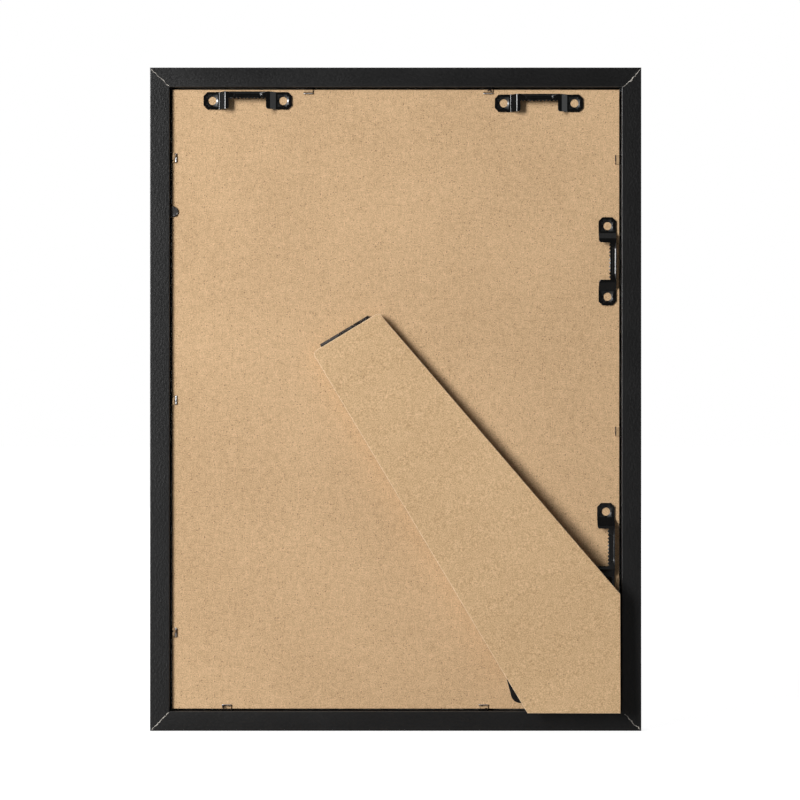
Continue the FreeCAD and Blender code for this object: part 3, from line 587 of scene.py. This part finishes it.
# %% Ribbon and glue
SATIN_DARK, SATIN_LIGHT = (0.0025, 0.0024, 0.0026), (0.0070, 0.0068, 0.0072)
GLUE_DARK, GLUE_LIGHT = (0.10, 0.092, 0.082), (0.72, 0.67, 0.60)


def make_ribbon():
    """Satin: on its own flat map, ribs along the ribbon, 0.35 mm apart, with a sheen on top."""
    material, tree, shader = finish_called("satin_ribbon")
    flat = put(tree, "ShaderNodeUVMap", uv_map="flat").outputs[0]
    ribs = put(tree, "ShaderNodeTexWave", {"Vector": flat, "Scale": 900.0, "Distortion": 0.6,
                                           "Detail": 1.0}, bands_direction="X").outputs[1]
    slubs = noise(tree, flat, scale=260.0, detail=3.0)
    colour = between(tree, slubs, SATIN_DARK, SATIN_LIGHT)
    wire(tree, shader, Base_Color=colour, Specular_IOR_Level=0.15, Sheen_Weight=0.06,
         Sheen_Roughness=0.4, Normal=bump(tree, ribs, strength=0.4, deep=0.05 * MM),
         Roughness=spread(tree, slubs, (0.3, 0.7), (0.48, 0.58)))
    return material


def make_glue():
    """Dried wood glue: cream to grey, half gloss."""
    material, tree, shader = finish_called("dried_glue")
    where = put(tree, "ShaderNodeTexCoord").outputs["Object"]
    patches = place(tree, MOTTLE, {"Where": where, "Large": 500.0, "Small": 2500.0,
                                   "Small Share": 0.4})
    wire(tree, shader, Base_Color=between(tree, patches, GLUE_DARK, GLUE_LIGHT),
         Roughness=spread(tree, patches, (0, 1), (0.45, 0.7)),
         Normal=bump(tree, patches, strength=0.4, deep=0.05 * MM))
    return material


FINISHES["ribbon"] = make_ribbon()
GLUE = make_glue()
print("finishes:", FINISHES["ribbon"].name, GLUE.name)

# %% [markdown]
# ## Dress the solids
#
# Each solid came in with one plain material named after its slot. Its shape stays; only the
# material in its slot is exchanged for the finish of the same name.

# %% Put the finishes on the solids
SLOT_OF = {}
for node_name, solid in frame["nodes"].items():
    for material_slot in solid.material_slots:
        SLOT_OF[node_name] = material_slot.material.name.split(".")[0]
        material_slot.material = FINISHES[SLOT_OF[node_name]]

# Daylight passes a window pane, but a path tracer sees glass as dark for shadow rays. Without
# this line the blank sheet behind it would be black.
frame["nodes"]["glass_pane"].visible_shadow = False
print("dressed", len(frame["nodes"]), "solids")

# %% [markdown]
# ## Smooth copies of the formed pieces
#
# A solid arrives as loose flat triangles. That is right for a sawn panel, but a highlight has
# to glide round a bend in lacquered steel and run along a rounded arris. So each formed piece
# is shown by a copy: its doubles are merged, faces that meet at a small angle share their
# normals, and large flat faces pull the shared normals to their own side.

# %% Copy and smooth
SMOOTH_ANGLE = math.radians(35)
MERGE_WITHIN = 0.001 * MM
CRUSHED_STEPS = 2
BODY_OF = {node_name: body for body, names in frame["record"]["behaviour"]["bodies"].items()
           for node_name in names}
FORMED = ("right_rail", "left_rail", "top_rail", "bottom_rail", "hanger_top_right",
          "hanger_top_left", "hanger_side_upper", "hanger_side_lower", "hinge_board_leaf",
          "hinge_leg_leaf", "hinge_pin", "easel_leg")
DULL = ("hinge_board_leaf", "hinge_leg_leaf")
SOFTENED = {"easel_leg": 0.26 * MM}


def smooth_copy(node_name):
    """The node's own mesh, merged, with shared normals weighted by face area. A piece with
    crushed edges gets a narrow bevel first."""
    solid = frame["nodes"][node_name]
    mesh = solid.data.copy()
    mesh.name = node_name + "_smooth"
    work = bmesh.new()
    work.from_mesh(mesh)
    bmesh.ops.remove_doubles(work, verts=work.verts, dist=MERGE_WITHIN)
    work.to_mesh(mesh)
    work.free()
    mesh.polygons.foreach_set("use_smooth", np.full(len(mesh.polygons), True))
    mesh.set_sharp_from_angle(angle=SMOOTH_ANGLE)
    piece = bpy.data.objects.new(node_name + "_smooth", mesh)
    bpy.context.scene.collection.objects.link(piece)
    if node_name in SOFTENED:
        crushed = piece.modifiers.new("crushed_edges", "BEVEL")
        crushed.width, crushed.segments = SOFTENED[node_name], CRUSHED_STEPS
        crushed.limit_method, crushed.angle_limit = "ANGLE", SMOOTH_ANGLE
    weights = piece.modifiers.new("weighted_normals", "WEIGHTED_NORMAL")
    weights.keep_sharp = True
    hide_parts(node_name)
    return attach(piece, BODY_OF[node_name])


for node_name in FORMED:
    copied = smooth_copy(node_name)
    if node_name in DULL:
        copied.data.materials[0] = FINISHES["dull_steel"]
print("smoothed:", len(FORMED), "pieces")

# %% [markdown]
# ## New pieces as surfaces
#
# Every new piece is a grid of points worked out with numpy: a shape is a function of two
# parameters, evaluated for the whole grid at once. `surface` turns such a grid into a mesh.
# Its two parameters become the flat map that a pattern can follow.

# %% From a grid of points to a piece
def surface(name, points, flat=None, wrap=False, caps=False, finish=None):
    """A mesh over an (n, m, 3) grid: point (i, j) is joined to (i+1, j) and (i, j+1). wrap joins
    the last j to the first, and caps closes the first and last i with one face each. flat is
    the (n, m, 2) grid of places on the flat map."""
    n, m = points.shape[:2]
    number = np.arange(n * m).reshape(n, m)
    right = np.roll(number, -1, axis=1) if wrap else number[:, 1:]
    left = number if wrap else number[:, :-1]
    quads = np.stack([left[:-1], right[:-1], right[1:], left[1:]], axis=-1).reshape(-1, 4)
    faces = quads.tolist()
    if caps:
        faces += [number[0, ::-1].tolist(), number[-1].tolist()]
    mesh = bpy.data.meshes.new(name)
    mesh.from_pydata(points.reshape(-1, 3), [], faces)
    if flat is not None:
        corner = np.zeros(len(mesh.loops), dtype=np.int32)
        mesh.loops.foreach_get("vertex_index", corner)
        layer = mesh.uv_layers.new(name="flat")
        layer.data.foreach_set("uv", flat.reshape(-1, 2)[corner].astype(np.float32).ravel())
    mesh.polygons.foreach_set("use_smooth", np.full(len(mesh.polygons), True))
    mesh.update()
    piece = bpy.data.objects.new(name, mesh)
    bpy.context.scene.collection.objects.link(piece)
    if finish is not None:
        mesh.materials.append(finish)
    return piece


def thicken(piece, thickness):
    """A Solidify modifier gives the sheet its thickness, half to either side."""
    shell = piece.modifiers.new("thickness", "SOLIDIFY")
    shell.thickness, shell.offset = thickness, 0
    shell.use_even_offset = True
    return piece


print("a new piece is a surface, and a sheet is thickened")

# %% [markdown]
# ## Glue lines in the mitres
#
# The rails are glued at 45 degrees, and a little glue has squeezed out of each joint. Such a
# line is a low bead: half an ellipse carried along a kinked path. The path keeps to the mitre
# but wanders, and swells where a blob dried.

# %% The glue lines' stops
GLUE_LINES = {  # corner: (side, end, [(in from the side, in from the end, width)...]) in mm
    "top_right": (1, 1, [(0.5, 0.6, .24), (3.2, 3.4, .20), (6.3, 6.4, .24), (9.3, 9.3, .28)]),
    "top_left": (-1, 1, [(0.5, 0.9, .26), (2.3, 3.1, .30), (3.9, 5.0, .40), (5.2, 6.5, .72),
                         (5.9, 6.9, .30), (7.4, 8.4, .30), (9.2, 9.4, .28)]),
    "bottom_right": (1, -1, [(0.7, 0.5, .26), (2.5, 2.3, .30), (3.8, 3.3, .80), (4.6, 4.3, .34),
                             (6.7, 6.6, .38), (8.3, 8.3, .34), (9.4, 9.0, .34)]),
    "bottom_left": (-1, -1, [(0.5, 0.5, .28), (1.6, 1.9, .32), (3.7, 3.2, .26),
                             (5.2, 5.1, .40), (6.3, 6.6, .26), (8.5, 8.1, .34)]),
}
print("stops:", {corner: len(line[2]) for corner, line in GLUE_LINES.items()})

# %% Make the glue lines
BEAD_HEIGHT, BEAD_SUNK = 0.10 * MM, 0.04 * MM
BEAD_STEPS, BEAD_SIDES = 64, 12
SPARE_STEPS = 4
WANDER, WANDER_OVER = 0.20 * MM, 5
SWELL, SWELL_OVER = 0.55, 4
BEAD_END, END_SHARE = 0.5 * MM, 0.25


def evened(chance, over):
    """Seeded noise, one number for each step of a bead, averaged over a few neighbours."""
    drawn = chance.normal(0, 1, BEAD_STEPS + 2 * SPARE_STEPS)
    return np.convolve(drawn, np.ones(over) / over, "same")[SPARE_STEPS:-SPARE_STEPS]


def glue_line(name, side, end, stops, seed):
    """The path through the stops, resampled evenly, with seeded wander. Its section is an
    ellipse: half the width times cos(turn) across, and sin(turn) times a height that is larger
    over the rail than in it."""
    stops = np.array(stops)
    stops[:, :2] *= MM
    run = np.r_[0, np.cumsum(np.hypot(*np.diff(stops[:, :2], axis=0).T))]
    along = np.linspace(0, run[-1], BEAD_STEPS)
    inward = np.stack([np.interp(along, run, stops[:, k]) for k in (0, 1)], axis=1)
    width = np.interp(along, run, stops[:, 2]) * MM
    chance = np.random.default_rng(seed)
    inward += np.outer(evened(chance, WANDER_OVER) * WANDER, (1, -1))
    width *= 1 + SWELL * evened(chance, SWELL_OVER)
    width *= np.clip(np.minimum(along, run[-1] - along) / BEAD_END, END_SHARE, 1)
    middle = np.stack([side * (outer_half_width - inward[:, 0]),
                       np.full(BEAD_STEPS, back_face),
                       (frame_height - inward[:, 1]) if end > 0 else inward[:, 1]], axis=1)
    ahead = np.gradient(middle, axis=0)
    ahead /= np.linalg.norm(ahead, axis=1, keepdims=True)
    across = np.cross(ahead, (0, 1, 0))
    round_turn = np.linspace(0, 2 * np.pi, BEAD_SIDES, endpoint=False)
    points = (middle[:, None] + across[:, None] * (np.cos(round_turn)[None, :, None]
                                                   * width[:, None, None] / 2))
    rise = np.sin(round_turn)
    points[..., 1] += np.where(rise > 0, BEAD_HEIGHT, BEAD_SUNK) * rise
    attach(surface(name, points, wrap=True, caps=True, finish=GLUE), "frame")


for seed, (corner, (side, end, stops)) in enumerate(GLUE_LINES.items()):
    glue_line("glue_" + corner, side, end, stops, seed)
print("glue lines:", list(GLUE_LINES))

# %% [markdown]
# ## Bent tabs
#
# Eleven tongues of thin steel hold the board in. Each comes out of the rail's inner wall, runs
# flat over the board and curls up at its tip, so its end catches the light as a short bright
# dash. A tab is a strip: a bent line in section, carried across the tongue's width, with its
# tip corners rounded. It replaces the plain block and rides on the same body. The black tab is
# wider, has a round end, and is dished where the others curl.

# %% A tongue's path
TAB_THICK = 0.30 * MM
TAB_CURL = 0.36 * MM
TAB_LIP = 0.14 * MM
TAB_TURN = math.radians(80)
FLAT_STEPS, CURL_STEPS, BLACK_STEPS = 8, 9, 24


def tongue_path(reach, curled):
    """Way out and height of the sheet's middle line: flat, then an arc up, then a short lip. A
    tongue that isn't curled stays flat."""
    if not curled:
        return np.linspace(0, reach, BLACK_STEPS), np.zeros(BLACK_STEPS)
    turn = np.linspace(0, TAB_TURN, CURL_STEPS)
    start = reach - TAB_THICK / 2 - TAB_CURL * math.sin(TAB_TURN) - TAB_LIP * math.cos(TAB_TURN)
    way = np.r_[np.linspace(0, start, FLAT_STEPS)[:-1], start + TAB_CURL * np.sin(turn)]
    height = np.r_[np.zeros(FLAT_STEPS - 1), TAB_CURL * (1 - np.cos(turn))]
    return (np.r_[way, way[-1] + TAB_LIP * math.cos(TAB_TURN)],
            np.r_[height, height[-1] + TAB_LIP * math.sin(TAB_TURN)])


print("a tongue's path has", len(tongue_path(1.0, True)[0]), "points")

# %% Make the tabs
TAB_CLEAR = 0.17 * MM
TIP_ROUND, BLACK_TIP_ROUND = 0.4 * MM, 2.5 * MM
BLACK_DISH, DISH_FROM_ROOT = 0.25 * MM, 2.0 * MM
ACROSS_STEPS = 15
SIDE_SHARE = 0.85  # of the frame's half width, past which a tab is on an upright rail
TABS = [name for name in frame["nodes"] if name.startswith("tab_") and name != "tab_shanks"]


def tab_strip(name):
    """The path carried across the tongue for t from -1 to 1. Near the tip half the width shrinks
    on a quarter circle; the black tongue's sides are dished up as the square of t, which fades
    out toward the root so that it can bend."""
    black = name == "tab_right_black"
    low, high = (np.array(corner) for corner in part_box(name))
    middle = (low + high) / 2
    on_side = abs(middle[0]) > SIDE_SHARE * outer_half_width
    out = np.array([-np.sign(middle[0]), 0, 0] if on_side
                   else [0, 0, np.sign(frame_height / 2 - middle[2])])
    aside = np.array([out[2], 0, -out[0]])
    reach, width = abs((high - low) @ out), abs((high - low) @ aside)
    way, height = tongue_path(reach, curled=not black)
    along = np.r_[0, np.cumsum(np.hypot(np.diff(way), np.diff(height)))]
    from_tip = along[-1] - along
    tip_round = BLACK_TIP_ROUND if black else TIP_ROUND
    short = np.clip(tip_round - from_tip, 0, tip_round)
    half = width / 2 - tip_round + np.sqrt(np.maximum(tip_round ** 2 - short ** 2, 0))
    t = np.linspace(-1, 1, ACROSS_STEPS)
    root = (middle - out * reach / 2) * [1, 0, 1]
    points = (root + way[:, None, None] * out + (half[:, None] * t)[..., None] * aside)
    rest = board_back + TAB_CLEAR + TAB_THICK / 2
    dish = (BLACK_DISH if black else 0.0) * np.clip(way / DISH_FROM_ROOT, 0, 1) ** 2
    points[..., 1] = rest + height[:, None] + dish[:, None] * t ** 2
    flat = np.stack(np.broadcast_arrays(half[:, None] * t, from_tip[:, None]), axis=-1)
    # The left rail's tabs take the finish whose lip is painted dark as shade.
    finish = "dull_steel" if black else "clean_tab" if "_left_" in name else "stained_tab"
    piece = thicken(surface(name + "_tongue", points, flat=flat,
                            finish=FINISHES[finish]), TAB_THICK)
    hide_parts(name)
    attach(piece, name)


for tab in TABS:
    tab_strip(tab)
print("tabs:", len(TABS))

# %% [markdown]
# ## The stay ribbon
#
# A short satin ribbon keeps the leg from opening too far. Closed, it lies folded between the
# leg and the board, and its fold peeps out beside the heel. It is one strip: out from the
# staple on the board, round a soft fold, and back to the staple on the leg.

# %% The ribbon's sizes
RIBBON_WIDE = 12.6 * MM
RIBBON_TAIL = 3.0 * MM
RIBBON_FINE = 0.30 * MM
FOLD_REACH = 41.4 * MM
FOLD_ROUND = 0.60 * MM
FOLD_ANGLE = math.radians(15.0)
FOLD_CORNER = 4.6 * MM
LEG_LEAN = math.tan(math.radians(2.0))  # the closed leg leans a little off the board
STRIP_POINTS, FOLD_POINTS, ACROSS_POINTS = 40, 14, 25
CLIMB_POWER = 0.75
STRIP_CLEAR = 0.25 * MM

fold_way = np.array([math.cos(FOLD_ANGLE), 0, -math.sin(FOLD_ANGLE)])
fold_aside = np.array([fold_way[2], 0, -fold_way[0]])
staple_low, staple_high = (np.array(corner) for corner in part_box("ribbon_staple_board"))
board_end = (staple_low + staple_high) / 2 * [1, 0, 1]
low_height = board_back + STRIP_CLEAR
high_height = float(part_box("ribbon_staple_leg")[0].y) + STRIP_CLEAR
print("the ribbon climbs from", round(low_height / MM, 2), "to", round(high_height / MM, 2), "mm")


# %% Make the ribbon
def ribbon_path(reach):
    """Way out and height along the strip. Each half leaves its staple and nears the middle
    height as a power of the way out; half a circle joins the two."""
    out = np.linspace(-RIBBON_TAIL, reach - FOLD_ROUND, STRIP_POINTS)
    share = np.clip(out / (reach - FOLD_ROUND), 0, 1) ** CLIMB_POWER
    middle = (low_height + high_height) / 2
    low = low_height + (middle - FOLD_ROUND - low_height) * share
    high = high_height - (high_height - middle - FOLD_ROUND) * share
    turn = np.linspace(-np.pi / 2, np.pi / 2, FOLD_POINTS + 2)[1:-1]
    way = np.r_[out, reach - FOLD_ROUND * (1 - np.cos(turn)), out[::-1]]
    return way, np.r_[low, middle + FOLD_ROUND * np.sin(turn), high[::-1]]


def make_stay_ribbon():
    """The path at each place across the ribbon. The fold's lower corner is drawn back on a
    quarter circle, and the upper half leans with the leg."""
    across = np.linspace(-1, 1, ACROSS_POINTS) * RIBBON_WIDE / 2
    into = np.clip(across - (RIBBON_WIDE / 2 - FOLD_CORNER), 0, FOLD_CORNER)
    back = FOLD_CORNER - np.sqrt(np.maximum(FOLD_CORNER ** 2 - into ** 2, 0))
    paths = np.array([ribbon_path(FOLD_REACH - short) for short in back])
    way, height = paths[:, 0].T, paths[:, 1].T
    rise = (height - low_height) / (high_height - low_height)
    points = (board_end + way[..., None] * fold_way + across[None, :, None] * fold_aside)
    points[..., 1] = height + LEG_LEAN * across * rise ** 2
    whole_way, whole_height = ribbon_path(FOLD_REACH)
    along = np.r_[0, np.cumsum(np.hypot(np.diff(whole_way), np.diff(whole_height)))]
    flat = np.stack(np.broadcast_arrays(across[None, :], along[:, None]), axis=-1)
    piece = thicken(surface("stay_ribbon_cloth", points, flat=flat, finish=FINISHES["ribbon"]),
                    RIBBON_FINE)
    return piece, float(along[-1])


stay_ribbon, ribbon_long = make_stay_ribbon()
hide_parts("stay_ribbon")
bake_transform(stay_ribbon)
print("ribbon", round(RIBBON_WIDE / MM, 1), "x", round(ribbon_long / MM, 1), "mm")

# %% [markdown]
# ## Stage and light
#
# A plain pale floor and plain studio light. The key light stands to the left of the picture
# and a little above, large enough for soft shadows, and its sheen on the left rail fades to
# the right. A weak light from the right touches the rims of the hangers, and a third one lights
# the frame's front, which this camera doesn't see. The background is white because the world
# and the floor say so to the camera, not because more light falls on the frame.

# %% Floor
FLOOR_HALF = 6.0
FLOOR_DROP = 0.2 * MM
FLOOR_POINTS = 9
FLOOR_DARK, FLOOR_LIGHT = (0.24, 0.24, 0.24), (0.27, 0.27, 0.27)
WHITE_FADES, WHITES = (0.35, 1.5), (0.90, 1.0)  # out from the frame, and how white
GLOW_FADES, GLOWS = (-0.10, 0.006), (0.8, 0.03)  # along Y, and how bright before and after


def make_floor():
    """Pale floor, lifted to white for the camera: a little less near the frame, so that its
    shadow stays, and fully where the floor is far. In a mirror it glows on the front's side."""
    material, tree, shader = finish_called("pale_floor")
    where = put(tree, "ShaderNodeTexCoord").outputs["Object"]
    tone = noise(tree, where, scale=3.0)
    path = put(tree, "ShaderNodeLightPath").outputs
    toward = put(tree, "ShaderNodeSeparateXYZ", {0: where}).outputs[1]
    mirrored = sums(tree, "MULTIPLY", path["Is Glossy Ray"],
                    spread(tree, toward, GLOW_FADES, GLOWS))
    seen = sums(tree, "MAXIMUM", path["Is Camera Ray"], path["Is Transmission Ray"])
    far = put(tree, "ShaderNodeVectorMath", {0: where}, operation="LENGTH").outputs["Value"]
    white = sums(tree, "MULTIPLY", seen, spread(tree, far, WHITE_FADES, WHITES))
    wire(tree, shader, Base_Color=between(tree, tone, FLOOR_DARK, FLOOR_LIGHT),
         Roughness=0.9, Specular_IOR_Level=0.1, Emission_Color=(1, 1, 1, 1),
         Emission_Strength=sums(tree, "MAXIMUM", white, mirrored))
    return material


across_floor = np.linspace(-1, 1, FLOOR_POINTS)
u, v = np.meshgrid(across_floor, across_floor, indexing="ij")
floor = surface("floor", np.stack([u * FLOOR_HALF, v * FLOOR_HALF,
                                   np.full_like(u, -FLOOR_DROP)], axis=-1),
                finish=make_floor())
print("floor:", 2 * FLOOR_HALF, "m square")

# %% Lamps
AIM = (0, 0, 0.16)
LAMPS = {  # name: (place, wide, high, watts)
    "key_light": ((1.60, 1.50, 0.79), 0.67, 1.35, 69.0),
    "side_light": ((-1.0, 0.25, 0.28), 0.40, 0.50, 0.36),
    "front_light": ((0.7, -1.6, 0.9), 1.2, 1.2, 22.0),
}


def soft_lamp(name, place_at, wide, high, watts):
    """A soft box, wide by high, at place_at, turned to face the frame's middle."""
    data = bpy.data.lights.new(name, "AREA")
    data.shape, data.size, data.size_y, data.energy = "RECTANGLE", wide, high, watts
    lamp = bpy.data.objects.new(name, data)
    lamp.location = place_at
    ahead = np.array(AIM, float) - np.array(place_at, float)
    yaw = math.atan2(ahead[1], ahead[0]) - math.pi / 2
    pitch = math.atan2(ahead[2], math.hypot(ahead[0], ahead[1])) + math.pi / 2
    lamp.rotation_euler = (pitch, 0, yaw)
    bpy.context.scene.collection.objects.link(lamp)


for lamp_name, lamp_facts in LAMPS.items():
    soft_lamp(lamp_name, *lamp_facts)
print("lamps:", list(LAMPS))

# %% World
AMBIENT = 0.045
ROOM = 0.06  # what a mirror sees on the camera's side; on the other it sees full white
ROOM_FADES = (-0.10, 0.25)

world = bpy.data.worlds.new("studio")
bpy.context.scene.world = world
world.use_nodes = True
world.node_tree.nodes.clear()
sky_tree = world.node_tree
path = put(sky_tree, "ShaderNodeLightPath").outputs
toward = put(sky_tree, "ShaderNodeSeparateXYZ",
             {0: put(sky_tree, "ShaderNodeTexCoord").outputs["Generated"]}).outputs[1]
mirrored = spread(sky_tree, toward, ROOM_FADES, (1.0, ROOM))
plain = put(sky_tree, "ShaderNodeMix", {0: path["Is Glossy Ray"], 2: AMBIENT, 3: mirrored})
clear = sums(sky_tree, "MAXIMUM", path["Is Camera Ray"], path["Is Transmission Ray"])
strength = put(sky_tree, "ShaderNodeMix", {0: clear, 2: plain.outputs[0], 3: 1.0})
sky = put(sky_tree, "ShaderNodeBackground", {"Color": (1, 1, 1, 1),
                                             "Strength": strength.outputs[0]})
put(sky_tree, "ShaderNodeOutputWorld", {"Surface": sky.outputs[0]})
bpy.context.scene.view_settings.view_transform = "Standard"
print("world:", world.name)
